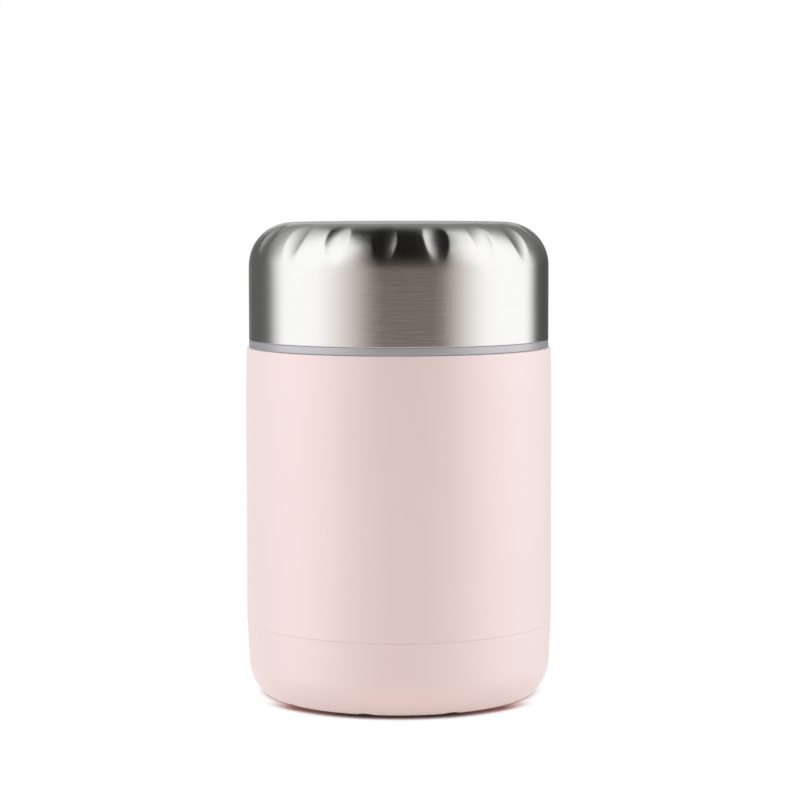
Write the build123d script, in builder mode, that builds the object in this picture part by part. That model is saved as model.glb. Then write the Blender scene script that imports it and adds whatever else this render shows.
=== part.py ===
from build123d import *
import os
from math import acos, cos, degrees, radians, sin

# Vacuum-insulated food jar with a screw lid, in millimetres.
# +Z is up. The origin is the centre of the base, on the surface that the jar stands on.

# Overall sizes
total_height = 141.75
body_radius = 46.0
seam_height = 22.0
shoulder_height = 104.3
rim_height = 121.0
shell_sheet = 0.5
pot_sheet = 0.4
foil_sheet = 0.15

# Outer shell: straight wall, faint draw-in below the shoulder, neck and rolled lip
draw_in_height = 92.0
shoulder_radius = 45.7
draw_in_blend = 500.0
shoulder_round = 0.4
neck_radius = 40.3
neck_round = 0.8
lip_radius = 38.9
lip_round = 1.2
seam_chamfer = 0.25

# Base cup: near-straight wall, long round into a narrow standing rim, recessed pan
cup_top_radius = 45.9
cup_top_straight = 1.0
cup_top_blend = 20.0
cup_wall_radius = 45.4
cup_wall_height = 10.0
cup_knee = (41.7, 1.0)
rim_inner_radius = 37.9
pan_radius = 36.4
pan_height = 3.0
rim_inner_round = 1.1
pan_round = 1.0
slip_lip_top = 25.5
slip_lip_depth = 2.0
slip_clearance = 0.05

# Air notches pressed across the standing rim
notch_count = 10
notch_angle = -14.0
notch_width = 5.4
notch_depth = 0.6
notch_roof_low = 0.45
notch_roof_high = 1.05
notch_roof_inner = 37.8
notch_roof_outer = 41.0

# Evacuation port in the middle of the pan, with its seal, cover and getter
port_radius = 1.5
port_dimple_radius = 6.0
port_dimple_rise = 1.6
seal_radius = 3.6
seal_depth = 1.2
cover_radius = 34.0
getter_offset = 20.0
getter_radius = 4.6
getter_thickness = 2.7
clip_sheet = 0.4
clip_half_width = 5.2
clip_half_length = 3.0
clip_finger = 1.6

# Inner pot
pot_radius = 41.6
pot_floor = 12.5
pot_corner = 10.0
pot_neck_radius = 37.0
pot_shoulder_low = 97.5
pot_shoulder_high = 101.5
pot_shoulder_round = 4.0
foil_gap = 0.15
foil_low = 26.0
foil_high = 95.0
foil_disc_radius = 34.0

# Screw thread: one start, right-handed
thread_lead = 8.0
thread_angle = 20.0
neck_ridge_low = 108.2
neck_ridge_turns = 1.07
neck_ridge_crest = 41.5
neck_ridge_root_width = 3.2
neck_ridge_crest_width = 1.4
lid_ridge_drop = 2.95
lid_ridge_delay = 0.13
lid_ridge_turns = 1.0
lid_ridge_crest = 40.75
lid_ridge_root_width = 2.6
lid_ridge_crest_width = 1.0

# Lid: steel cap with pressed flutes over a threaded plastic liner
lid_radius = 45.0
lid_gap = 0.1
ring_top = 106.6
ring_round = 0.2
cap_sheet = 0.5
cap_shoulder = 13.0
flute_count = 18
flute_angle = -5.2
flute_width = 8.2
flute_depth = 0.46
flute_middle = 41.5
flute_reach = 32.0
flute_overrun = 3.0

liner_radius = 44.4
liner_bore = 42.0
web_low = 123.0
web_thickness = 1.6
mouth_chamfer = 0.6
spigot_radius = 34.5
spigot_wall = 1.5
spigot_low = 117.5
glue_low = 110.0
glue_high = 114.0
glue_depth = 0.45
glue_gap = 0.02

# Plug under the liner, with the gasket around it
plug_radius = 36.3
plug_wall = 1.6
plug_low = 114.0
plug_corner = 1.5
bead_radius = 36.75
bead_low = 120.1
bead_high = 120.8
gasket_inner = 36.45
gasket_outer = 41.3
gasket_low = 121.15
gasket_high = 122.85
gasket_round = 0.5
foam_gap = 1.6
plug_foam_gap = 0.15

shoulder_centre = (lid_radius - cap_shoulder, total_height - cap_shoulder)


def thread_ridge(root_radius, crest_radius, root_width, crest_width, low, turns, angle):
    # A flat-topped ridge that climbs a helix about the Z axis, its root buried in a wall.
    with BuildPart() as ridge:
        with BuildLine() as path:
            Helix(pitch=thread_lead, height=thread_lead * turns, radius=root_radius)
        start = Plane(origin=path.line @ 0, x_dir=(1, 0, 0), z_dir=path.line % 0)
        with BuildSketch(start):
            with BuildLine():
                Polyline(
                    (0, -root_width / 2),
                    (crest_radius - root_radius, -crest_width / 2),
                    (crest_radius - root_radius, crest_width / 2),
                    (0, root_width / 2),
                    close=True,
                )
            make_face()
        sweep(path=path.line, is_frenet=True)
    return ridge.part.moved(Location((0, 0, low), (0, 0, angle)))


def flute_tool(inset):
    # A bent round bar lying across the lid's shoulder, thicker by inset. Its underside is the bed of one flute.
    # The bar's radius gives the flute's width, and the arc it is bent to gives the reach up the shoulder.
    hollow = (flute_width ** 2 / 4 + flute_depth ** 2) / (2 * flute_depth)
    sagitta = cap_shoulder * (1 - cos(radians(flute_reach)))
    outward = flute_depth * (2 * cap_shoulder - flute_depth) / (2 * (sagitta - flute_depth))
    bar_path = outward + cap_shoulder - flute_depth + hollow
    middle = radians(flute_middle)
    centre = (
        shoulder_centre[0] - outward * cos(middle),
        shoulder_centre[1] - outward * sin(middle),
    )
    half_span = flute_reach + flute_overrun
    first = radians(flute_middle - half_span)
    pivot = Axis((centre[0], 0, centre[1]), (0, -1, 0))
    section = Plane(
        origin=(centre[0] + bar_path * cos(first), 0, centre[1] + bar_path * sin(first)),
        x_dir=(cos(first), 0, sin(first)),
        z_dir=(-sin(first), 0, cos(first)),
    )
    with BuildPart() as bar:
        with BuildSketch(section):
            Circle(hollow + inset)
        revolve(axis=pivot, revolution_arc=2 * half_span)
    return bar.part


def cap_form(inset):
    # The lid's outer form, moved inwards by inset, with every flute sunk into it.
    with BuildPart() as form:
        with BuildSketch(Plane.XZ):
            with BuildLine():
                Line((0, ring_top), (lid_radius - inset, ring_top))
                Line((lid_radius - inset, ring_top), (lid_radius - inset, shoulder_centre[1]))
                CenterArc(shoulder_centre, cap_shoulder - inset, 0, 90)
                Line((shoulder_centre[0], total_height - inset), (0, total_height - inset))
                Line((0, total_height - inset), (0, ring_top))
            make_face()
        revolve(axis=Axis.Z)
        tool = flute_tool(inset)
        with PolarLocations(0, flute_count, start_angle=flute_angle - 90):
            add(tool, mode=Mode.SUBTRACT)
    return form.part


os.makedirs("parts", exist_ok=True)

# Outer shell: drawn steel sheet, powder coated up to the shoulder, bare on the neck
with BuildPart() as outer_shell:
    with BuildSketch(Plane.XZ):
        with BuildLine():
            FilletPolyline(
                (body_radius, seam_height),
                (body_radius, draw_in_height),
                (shoulder_radius, shoulder_height),
                (neck_radius, shoulder_height),
                (neck_radius, rim_height),
                (lip_radius, rim_height),
                radius=[draw_in_blend, shoulder_round, neck_round, lip_round],
            )
            offset(amount=shell_sheet, side=Side.LEFT)
        make_face()
    revolve(axis=Axis.Z)
    seam_edge = outer_shell.edges().group_by(Axis.Z)[0].sort_by(SortBy.LENGTH)[-1]
    chamfer(seam_edge, length=seam_chamfer)
    add(
        thread_ridge(
            neck_radius - shell_sheet / 2,
            neck_ridge_crest,
            neck_ridge_root_width,
            neck_ridge_crest_width,
            neck_ridge_low,
            neck_ridge_turns,
            thread_angle,
        )
    )
outer_shell.part.label = "outer_shell"
export_step(outer_shell.part, "parts/outer_shell.step")

# Base cup: slips into the shell and is welded to it at the seam
with BuildPart() as base_cup:
    with BuildSketch(Plane.XZ):
        with BuildLine():
            wall = FilletPolyline(
                (cup_top_radius, seam_height),
                (cup_top_radius, seam_height - cup_top_straight),
                (cup_wall_radius, cup_wall_height),
                radius=cup_top_blend,
            )
            knee = TangentArc(wall @ 1, cup_knee, tangent=wall % 1)
            # The toe turns from the knee's slope to level, exactly at the floor
            slope = acos(-(knee % 1).Y)
            toe_radius = cup_knee[1] / (1 - sin(slope))
            toe = JernArc(knee @ 1, knee % 1, toe_radius, degrees(slope) - 90)
            FilletPolyline(
                toe @ 1,
                (rim_inner_radius, 0),
                (pan_radius, pan_height),
                (port_dimple_radius, pan_height),
                (port_dimple_radius - port_dimple_rise, pan_height + port_dimple_rise),
                (port_radius, pan_height + port_dimple_rise),
                radius=[rim_inner_round, pan_round, pan_round, pan_round],
            )
            offset(amount=shell_sheet, side=Side.RIGHT)
        make_face()
    revolve(axis=Axis.Z)
    contact_radius = (toe @ 1).X
    with BuildSketch(Plane.XY.offset(seam_height - slip_lip_depth)):
        Circle(body_radius - shell_sheet - slip_clearance)
        Circle(body_radius - 2 * shell_sheet - slip_clearance, mode=Mode.SUBTRACT)
    extrude(amount=slip_lip_top - seam_height + slip_lip_depth)
    # The sheet rises over each notch, so the wall is as thick there as elsewhere
    with BuildSketch(Plane.XY.offset(notch_roof_low)):
        with PolarLocations((notch_roof_inner + notch_roof_outer) / 2, notch_count, notch_angle - 90):
            Rectangle(notch_roof_outer - notch_roof_inner, notch_width)
    extrude(amount=notch_roof_high - notch_roof_low)
    notch_bend = (notch_width ** 2 / 4 + notch_depth ** 2) / (2 * notch_depth)
    with PolarLocations(contact_radius, notch_count, notch_angle - 90):
        with Locations(Location((0, 0, notch_depth - notch_bend), (0, 90, 0))):
            Cylinder(notch_bend, 4 * pan_height, mode=Mode.SUBTRACT)
base_cup.part.label = "base_cup"
export_step(base_cup.part, "parts/base_cup.step")

# Bead of solder that closes the evacuation port
with BuildPart() as vacuum_seal:
    with BuildSketch(Plane.XZ):
        with BuildLine():
            port_face = pan_height + port_dimple_rise
            ThreePointArc(
                (0, port_face - seal_depth),
                (seal_radius * 0.7, port_face - seal_depth * 0.7),
                (seal_radius, port_face),
            )
            Line((seal_radius, port_face), (0, port_face))
            Line((0, port_face), (0, port_face - seal_depth))
        make_face()
    revolve(axis=Axis.Z)
    with BuildSketch(Plane.XY.offset(port_face)):
        Circle(port_radius - slip_clearance)
    extrude(amount=shell_sheet)
vacuum_seal.part.label = "vacuum_seal"
export_step(vacuum_seal.part, "parts/vacuum_seal.step")

# Steel disc that hides the sealed port
with BuildPart() as base_cover:
    with BuildSketch(Plane.XY.offset(pan_height - shell_sheet)):
        Circle(cover_radius)
    extrude(amount=shell_sheet)
    chamfer(base_cover.edges().group_by(Axis.Z)[0], length=shell_sheet / 3)
base_cover.part.label = "base_cover"
export_step(base_cover.part, "parts/base_cover.step")

# Getter: a pellet that keeps the vacuum, held on the pan by a bent clip
pan_top = pan_height + shell_sheet
clip_top = pan_top + 2 * clip_sheet + getter_thickness + slip_clearance
with BuildPart() as getter_clip:
    with BuildSketch(Plane.XZ):
        with BuildLine():
            Polyline(
                (getter_offset - clip_half_width + clip_finger, clip_top),
                (getter_offset - clip_half_width, clip_top),
                (getter_offset - clip_half_width, pan_top),
                (getter_offset + clip_half_width, pan_top),
                (getter_offset + clip_half_width, clip_top),
                (getter_offset + clip_half_width - clip_finger, clip_top),
            )
            offset(amount=clip_sheet, side=Side.LEFT, kind=Kind.INTERSECTION)
        make_face()
    extrude(amount=clip_half_length, both=True)
getter_clip.part.label = "getter_clip"
export_step(getter_clip.part, "parts/getter_clip.step")

with BuildPart() as getter_pellet:
    with BuildSketch(Plane.XY.offset(pan_top + clip_sheet)):
        with Locations((getter_offset, 0)):
            Circle(getter_radius)
    extrude(amount=getter_thickness)
    chamfer(getter_pellet.edges().filter_by(GeomType.CIRCLE), length=clip_sheet)
getter_pellet.part.label = "getter_pellet"
export_step(getter_pellet.part, "parts/getter_pellet.step")

# Inner pot: the food side, welded to the shell at the lip
with BuildPart() as inner_pot:
    with BuildSketch(Plane.XZ):
        with BuildLine():
            FilletPolyline(
                (0, pot_floor),
                (pot_radius, pot_floor),
                (pot_radius, pot_shoulder_low),
                (pot_neck_radius, pot_shoulder_high),
                (pot_neck_radius, rim_height),
                (lip_radius, rim_height),
                radius=[pot_corner, pot_shoulder_round, pot_shoulder_round, lip_round],
            )
            offset(amount=pot_sheet, side=Side.RIGHT)
        make_face()
    revolve(axis=Axis.Z)
inner_pot.part.label = "inner_pot"
export_step(inner_pot.part, "parts/inner_pot.step")

# Foil round the pot and under it, in the vacuum
with BuildPart() as foil_wrap:
    with BuildSketch(Plane.XY.offset(foil_low)):
        Circle(pot_radius + pot_sheet + foil_gap + foil_sheet)
        Circle(pot_radius + pot_sheet + foil_gap, mode=Mode.SUBTRACT)
    extrude(amount=foil_high - foil_low)
foil_wrap.part.label = "foil_wrap"
export_step(foil_wrap.part, "parts/foil_wrap.step")

with BuildPart() as foil_disc:
    with BuildSketch(Plane.XY.offset(pot_floor - pot_sheet - foil_gap - foil_sheet)):
        Circle(foil_disc_radius)
    extrude(amount=foil_sheet)
foil_disc.part.label = "foil_disc"
export_step(foil_disc.part, "parts/foil_disc.step")

# Lid cap: one steel pressing
with BuildPart() as lid_cap:
    add(cap_form(0))
    add(cap_form(cap_sheet), mode=Mode.SUBTRACT)
lid_cap.part.label = "lid_cap"
export_step(lid_cap.part, "parts/lid_cap.step")

# Lid liner: threaded skirt, the ring that shows under the cap, web and plug spigot
with BuildPart() as lid_liner:
    with BuildSketch(Plane.XZ):
        with BuildLine():
            Polyline(
                (liner_bore + mouth_chamfer, shoulder_height + lid_gap),
                (lid_radius, shoulder_height + lid_gap),
                (lid_radius, ring_top),
                (liner_radius, ring_top),
                (liner_radius, glue_low),
                (liner_radius - glue_depth, glue_low),
                (liner_radius - glue_depth, glue_high),
                (liner_radius, glue_high),
                (liner_radius, web_low + web_thickness),
                (0, web_low + web_thickness),
                (0, web_low),
                (spigot_radius - spigot_wall, web_low),
                (spigot_radius - spigot_wall, spigot_low),
                (spigot_radius, spigot_low),
                (spigot_radius, web_low),
                (liner_bore, web_low),
                (liner_bore, shoulder_height + lid_gap + mouth_chamfer),
                close=True,
            )
        make_face()
    revolve(axis=Axis.Z)
    ring_edges = lid_liner.edges().filter_by(GeomType.CIRCLE).sort_by(SortBy.LENGTH)[-2:]
    fillet(ring_edges, radius=ring_round)
    add(
        thread_ridge(
            liner_bore + shell_sheet,
            lid_ridge_crest,
            lid_ridge_root_width,
            lid_ridge_crest_width,
            neck_ridge_low - lid_ridge_drop + lid_ridge_delay * thread_lead,
            lid_ridge_turns,
            thread_angle + 360 * lid_ridge_delay,
        )
    )
lid_liner.part.label = "lid_liner"
export_step(lid_liner.part, "parts/lid_liner.step")

# Bead of adhesive that holds the cap on the liner
with BuildPart() as lid_adhesive:
    with BuildSketch(Plane.XY.offset(glue_low)):
        Circle(lid_radius - cap_sheet - glue_gap)
        Circle(liner_radius - glue_depth + glue_gap, mode=Mode.SUBTRACT)
    extrude(amount=glue_high - glue_low)
lid_adhesive.part.label = "lid_adhesive"
export_step(lid_adhesive.part, "parts/lid_adhesive.step")

# Foam that fills the cap above the web
with BuildPart() as lid_foam:
    with BuildSketch(Plane.XZ):
        with BuildLine():
            foam_low = web_low + web_thickness
            foam_radius = lid_radius - foam_gap
            foam_top = total_height - foam_gap
            Line((0, foam_low), (foam_radius, foam_low))
            Line((foam_radius, foam_low), (foam_radius, shoulder_centre[1]))
            CenterArc(shoulder_centre, cap_shoulder - foam_gap, 0, 90)
            Line((shoulder_centre[0], foam_top), (0, foam_top))
            Line((0, foam_top), (0, foam_low))
        make_face()
    revolve(axis=Axis.Z)
lid_foam.part.label = "lid_foam"
export_step(lid_foam.part, "parts/lid_foam.step")

# Plug cup: snaps over the spigot and keeps the gasket up with its bead
with BuildPart() as plug_cup:
    with BuildSketch(Plane.XZ):
        with BuildLine():
            Polyline(
                (0, plug_low),
                (plug_radius, plug_low),
                (plug_radius, bead_low),
                (bead_radius, (bead_low + bead_high) / 2),
                (plug_radius, bead_high),
                (plug_radius, web_low),
                (plug_radius - plug_wall, web_low),
                (plug_radius - plug_wall, plug_low + plug_wall),
                (0, plug_low + plug_wall),
                close=True,
            )
        make_face()
    revolve(axis=Axis.Z)
    plug_edge = plug_cup.edges().group_by(Axis.Z)[0]
    fillet(plug_edge, radius=plug_corner)
plug_cup.part.label = "plug_cup"
export_step(plug_cup.part, "parts/plug_cup.step")

with BuildPart() as plug_foam:
    with BuildSketch(Plane.XY.offset(plug_low + plug_wall + plug_foam_gap)):
        Circle(spigot_radius - spigot_wall - plug_foam_gap)
    extrude(amount=web_low - plug_low - plug_wall - 2 * plug_foam_gap)
plug_foam.part.label = "plug_foam"
export_step(plug_foam.part, "parts/plug_foam.step")

# Gasket: silicone ring that seals on the lip
with BuildPart() as lid_gasket:
    with BuildSketch(Plane.XY.offset(gasket_low)):
        Circle(gasket_outer)
        Circle(gasket_inner, mode=Mode.SUBTRACT)
    extrude(amount=gasket_high - gasket_low)
    fillet(lid_gasket.edges().filter_by(GeomType.CIRCLE), radius=gasket_round)
lid_gasket.part.label = "lid_gasket"
export_step(lid_gasket.part, "parts/lid_gasket.step")
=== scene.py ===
import math

import bpy
import numpy as np
from mathutils import Matrix, Vector


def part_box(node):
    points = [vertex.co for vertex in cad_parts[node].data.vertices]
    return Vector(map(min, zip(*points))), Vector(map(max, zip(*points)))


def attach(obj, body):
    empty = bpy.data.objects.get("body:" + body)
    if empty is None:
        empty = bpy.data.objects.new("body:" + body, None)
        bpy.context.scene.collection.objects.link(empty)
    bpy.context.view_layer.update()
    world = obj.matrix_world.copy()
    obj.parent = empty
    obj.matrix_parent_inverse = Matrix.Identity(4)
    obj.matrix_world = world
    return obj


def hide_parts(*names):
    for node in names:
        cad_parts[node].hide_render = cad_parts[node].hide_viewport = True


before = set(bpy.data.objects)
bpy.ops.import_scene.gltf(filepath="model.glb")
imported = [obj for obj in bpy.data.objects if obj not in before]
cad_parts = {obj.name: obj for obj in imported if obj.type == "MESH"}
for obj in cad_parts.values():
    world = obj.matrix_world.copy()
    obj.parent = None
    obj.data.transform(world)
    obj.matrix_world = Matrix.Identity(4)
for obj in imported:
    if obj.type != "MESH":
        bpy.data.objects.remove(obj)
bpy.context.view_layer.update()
print("frame loaded:", ", ".join(sorted(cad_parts)))

mm = 0.001


def boxMm(node):
    # A node's lowest and highest corners, in millimetres
    low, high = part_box(node)
    return low / mm, high / mm


shellLow, shellHigh = boxMm("outer_shell")
capLow, capHigh = boxMm("lid_cap")
plugLow, plugHigh = boxMm("plug_cup")
gasketLow, gasketHigh = boxMm("lid_gasket")
coverLow, coverHigh = boxMm("base_cover")
cupTopRadius = boxMm("base_cup")[1].x
linerFoot = boxMm("lid_liner")[0].z

seamHeight = shellLow.z
bodyRadius = shellHigh.x
rimHeight = shellHigh.z
lidRadius = capHigh.x
ringTop = capLow.z
lidTop = capHigh.z
threadLead = 8.0  # rise per turn of the screw, as on the lid's joints
flankShare = 0.32  # share of a thread ridge's width that each flank takes


# Profiles are arrays of (radius, height) in millimetres
def roundedPath(corners, radii, step=4.0):
    # An open path through corners, each inner corner turned by an arc of its radius.
    # The arc's tangent points lie radius * tan(half turn) from the corner, and its points are even in angle.
    # Short steps beside each arc keep the shading of the straight runs true.
    corners = np.asarray(corners, float)
    path = [corners[:1]]
    for before, corner, after, radius in zip(corners[:-2], corners[1:-1], corners[2:], radii):
        into = (corner - before) / np.linalg.norm(corner - before)
        out = (after - corner) / np.linalg.norm(after - corner)
        cross = into[0] * out[1] - into[1] * out[0]
        turn = math.atan2(cross, into @ out)
        if radius <= 0:
            path.append(corner[None])
            continue
        reach = radius * math.tan(abs(turn) / 2)
        side = np.array([-into[1], into[0]]) * math.copysign(1, turn)
        centre = corner - into * reach + side * radius
        count = max(4, int(abs(math.degrees(turn)) / step))
        angles = np.linspace(0, turn, count + 1)
        spoke = -side * radius
        arc = np.stack([
            centre[0] + spoke[0] * np.cos(angles) - spoke[1] * np.sin(angles),
            centre[1] + spoke[0] * np.sin(angles) + spoke[1] * np.cos(angles),
        ], axis=1)
        path.append(arc)
    path.append(corners[-1:])
    return withSupports(np.vstack(path))


def withSupports(path, near=0.35, longRun=2.0):
    # Adds a point close to each end of every long run, so that smooth shading stays inside the arcs
    span = np.linalg.norm(np.diff(path, axis=0), axis=1)
    pieces = []
    for start, end, length in zip(path[:-1], path[1:], span):
        shares = [0, near / length, 1 - near / length] if length > longRun else [0]
        pieces.append(start + (end - start) * np.array(shares)[:, None])
    return np.vstack(pieces + [path[-1:]])


def offsetPath(path, amount):
    # Moves every point sideways: to the left of the path's direction for a positive amount
    run = np.gradient(path, axis=0)
    run /= np.linalg.norm(run, axis=1)[:, None]
    return path + amount * np.stack([-run[:, 1], run[:, 0]], axis=1)


def sheetLoop(path, thickness):
    # A closed loop round a sheet: the path on one face, and back along its offset to the left
    return np.vstack([path, offsetPath(path, thickness)[::-1]])


def makeObject(name, points, faces, sharpAngle=35):
    mesh = bpy.data.meshes.new(name)
    mesh.from_pydata((points * mm).tolist(), [], faces)
    mesh.shade_smooth()
    mesh.set_sharp_from_angle(angle=math.radians(sharpAngle))
    piece = bpy.data.objects.new(name, mesh)
    bpy.context.scene.collection.objects.link(piece)
    return piece


def turned(name, loop, segments=256, shift=None, sharpAngle=35):
    # Turns a closed counter-clockwise loop of (radius, height) about Z.
    # Point (i, j) is (r cos a, r sin a, z) with a = 2 pi j / segments; shift(r, z, a) may move r and z first.
    # Points on the axis become one pole each, so the surface has no seam and no open end.
    area = np.sum(loop[:, 0] * np.roll(loop[:, 1], -1) - np.roll(loop[:, 0], -1) * loop[:, 1])
    if area < 0:
        loop = loop[::-1]
    rows = len(loop)
    onAxis = loop[:, 0] < 1e-6
    angle = np.arange(segments) * 2 * np.pi / segments
    r = np.repeat(loop[:, :1], segments, axis=1)
    z = np.repeat(loop[:, 1:], segments, axis=1)
    if shift is not None:
        r, z = shift(r, z, angle[None, :] + 0 * r)
    grid = np.stack([r * np.cos(angle), r * np.sin(angle), z], axis=2)
    counts = np.where(onAxis, 1, segments)
    first = np.concatenate([[0], np.cumsum(counts)[:-1]])
    points = np.vstack([grid[i, :counts[i]] for i in range(rows)])
    index = first[:, None] + np.where(onAxis[:, None], 0, np.arange(segments)[None, :])
    nextRow = np.roll(index, -1, axis=0)
    quads = np.stack([index, np.roll(index, -1, axis=1), np.roll(nextRow, -1, axis=1), nextRow], axis=2)
    poleNext = np.roll(onAxis, -1)
    plain = quads[~onAxis & ~poleNext].reshape(-1, 4)
    fromPole = quads[onAxis & ~poleNext].reshape(-1, 4)[:, [0, 2, 3]]
    toPole = quads[~onAxis & poleNext].reshape(-1, 4)[:, [0, 1, 2]]
    faces = plain.tolist() + fromPole.tolist() + toPole.tolist()
    return makeObject(name, points, faces, sharpAngle)


def smoothStep(value):
    value = np.clip(value, 0, 1)
    return value * value * (3 - 2 * value)


def threadHeight(z, angle, low, turns, start, height, width, fade):
    # Height of a one-start ridge at (z, angle). The ridge's centre climbs threadLead a turn from low.
    # Its section is a rounded bump, and both ends fade over the fade angle.
    about = np.mod(angle - math.radians(start), 2 * np.pi)
    tallest = np.zeros_like(z)
    for lap in range(int(math.ceil(turns))):
        along = about + lap * 2 * np.pi
        away = np.abs(z - low - threadLead * along / (2 * np.pi))
        bump = smoothStep((width / 2 - away) / (width * flankShare))
        ends = smoothStep(along / math.radians(fade))
        ends = ends * smoothStep((turns * 2 * np.pi - along) / math.radians(fade))
        tallest = np.maximum(tallest, height * bump * ends)
    return tallest


def newMaterial(name):
    material = bpy.data.materials.new(name)
    material.use_nodes = True
    tree = material.node_tree
    tree.nodes.clear()
    output = tree.nodes.new("ShaderNodeOutputMaterial")
    shader = tree.nodes.new("ShaderNodeBsdfPrincipled")
    tree.links.new(shader.outputs[0], output.inputs[0])
    return material, tree, shader


def mathNode(tree, operation, *values, clamp=False):
    node = tree.nodes.new("ShaderNodeMath")
    node.operation = operation
    node.use_clamp = clamp
    for socket, value in zip(node.inputs, values):
        if isinstance(value, (int, float)):
            socket.default_value = value
        else:
            tree.links.new(value, socket)
    return node.outputs[0]


def rampNode(tree, value, low, high, bottom=0.0, top=1.0, smooth=True):
    node = tree.nodes.new("ShaderNodeMapRange")
    node.interpolation_type = "SMOOTHSTEP" if smooth else "LINEAR"
    for name, given in (("From Min", low), ("From Max", high), ("To Min", bottom), ("To Max", top)):
        if isinstance(given, (int, float)):
            node.inputs[name].default_value = given
        else:
            tree.links.new(given, node.inputs[name])
    tree.links.new(value, node.inputs["Value"])
    return node.outputs["Result"]


def noiseNode(tree, vector, scale, detail=3.0, roughness=0.55):
    node = tree.nodes.new("ShaderNodeTexNoise")
    node.inputs["Scale"].default_value = scale
    node.inputs["Detail"].default_value = detail
    node.inputs["Roughness"].default_value = roughness
    tree.links.new(vector, node.inputs["Vector"])
    return node.outputs["Fac"]


def mixColour(tree, factor, first, second, blend="MIX"):
    node = tree.nodes.new("ShaderNodeMix")
    node.data_type = "RGBA"
    node.blend_type = blend
    for socket, value in ((node.inputs[0], factor), (node.inputs[6], first), (node.inputs[7], second)):
        if isinstance(value, (int, float)):
            socket.default_value = value
        elif isinstance(value, tuple):
            socket.default_value = (*value, 1.0)
        else:
            tree.links.new(value, socket)
    return node.outputs[2]


def mixValue(tree, factor, first, second):
    node = tree.nodes.new("ShaderNodeMix")
    for socket, value in zip(node.inputs[:1] + node.inputs[2:4], (factor, first, second)):
        if isinstance(value, (int, float)):
            socket.default_value = value
        else:
            tree.links.new(value, socket)
    return node.outputs[0]


def bumpNode(tree, height, strength, distance):
    node = tree.nodes.new("ShaderNodeBump")
    node.inputs["Strength"].default_value = strength
    node.inputs["Distance"].default_value = distance
    tree.links.new(height, node.inputs["Height"])
    return node.outputs["Normal"]


def groupNode(tree, group, **values):
    node = tree.nodes.new("ShaderNodeGroup")
    node.node_tree = group
    for name, value in values.items():
        node.inputs[name].default_value = value
    return node


def startGroup(name, inputs, outputs):
    group = bpy.data.node_groups.new(name, "ShaderNodeTree")
    for label, default in inputs.items():
        socket = group.interface.new_socket(name=label, in_out="INPUT", socket_type="NodeSocketFloat")
        socket.default_value = default
    for label in outputs:
        group.interface.new_socket(name=label, in_out="OUTPUT", socket_type="NodeSocketFloat")
    return group, group.nodes.new("NodeGroupInput"), group.nodes.new("NodeGroupOutput")


def spunGrainGroup():
    # Brush lines that run round the jar's axis. The noise reads (x / r, y / r) slowly and (z - r) finely,
    # so the lines stay level on the wall and become rings on a flat top, with no seam.
    # Broad lines are ten times as long as fine ones and about three times as wide.
    group, given, put = startGroup(
        "spunGrain",
        {"Line Width": 0.00022, "Line Length": 0.004, "Radius": 0.045},
        ("Fine", "Broad"),
    )
    place = group.nodes.new("ShaderNodeTexCoord").outputs["Object"]
    split = group.nodes.new("ShaderNodeSeparateXYZ")
    group.links.new(place, split.inputs[0])
    x, y, z = split.outputs
    radius = mathNode(group, "SQRT", mathNode(group, "ADD", mathNode(group, "MULTIPLY", x, x),
                                              mathNode(group, "MULTIPLY", y, y)))
    radius = mathNode(group, "MAXIMUM", radius, 1e-5)
    across = mathNode(group, "DIVIDE", mathNode(group, "SUBTRACT", z, radius), given.outputs["Line Width"])
    roundScale = mathNode(group, "DIVIDE", given.outputs["Radius"], given.outputs["Line Length"])
    for label, slow, fine in (("Fine", 1.0, 1.0), ("Broad", 0.1, 0.3)):
        joined = group.nodes.new("ShaderNodeCombineXYZ")
        turn = mathNode(group, "MULTIPLY", roundScale, slow)
        group.links.new(mathNode(group, "MULTIPLY", mathNode(group, "DIVIDE", x, radius), turn), joined.inputs[0])
        group.links.new(mathNode(group, "MULTIPLY", mathNode(group, "DIVIDE", y, radius), turn), joined.inputs[1])
        group.links.new(mathNode(group, "MULTIPLY", across, fine), joined.inputs[2])
        group.links.new(noiseNode(group, joined.outputs[0], 1.0, 4.0, 0.6), put.inputs[label])
    return group


def speckleGroup():
    # Two sizes of soft noise for moulded and coated surfaces
    group, given, put = startGroup("surfaceSpeckle", {"Grain Size": 0.0003, "Patch Size": 0.02}, ("Grain", "Patch"))
    place = group.nodes.new("ShaderNodeTexCoord").outputs["Object"]
    for label, size in (("Grain", "Grain Size"), ("Patch", "Patch Size")):
        noise = group.nodes.new("ShaderNodeTexNoise")
        noise.inputs["Detail"].default_value = 3.0
        group.links.new(place, noise.inputs["Vector"])
        group.links.new(mathNode(group, "DIVIDE", 1.0, given.outputs[size]), noise.inputs["Scale"])
        group.links.new(noise.outputs["Fac"], put.inputs[label])
    return group


spunGrain = spunGrainGroup()
surfaceSpeckle = speckleGroup()


# Noise values stay mostly between these limits
noiseLow, noiseHigh = 0.3, 0.7
patchLow, patchHigh = 0.35, 0.65


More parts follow.
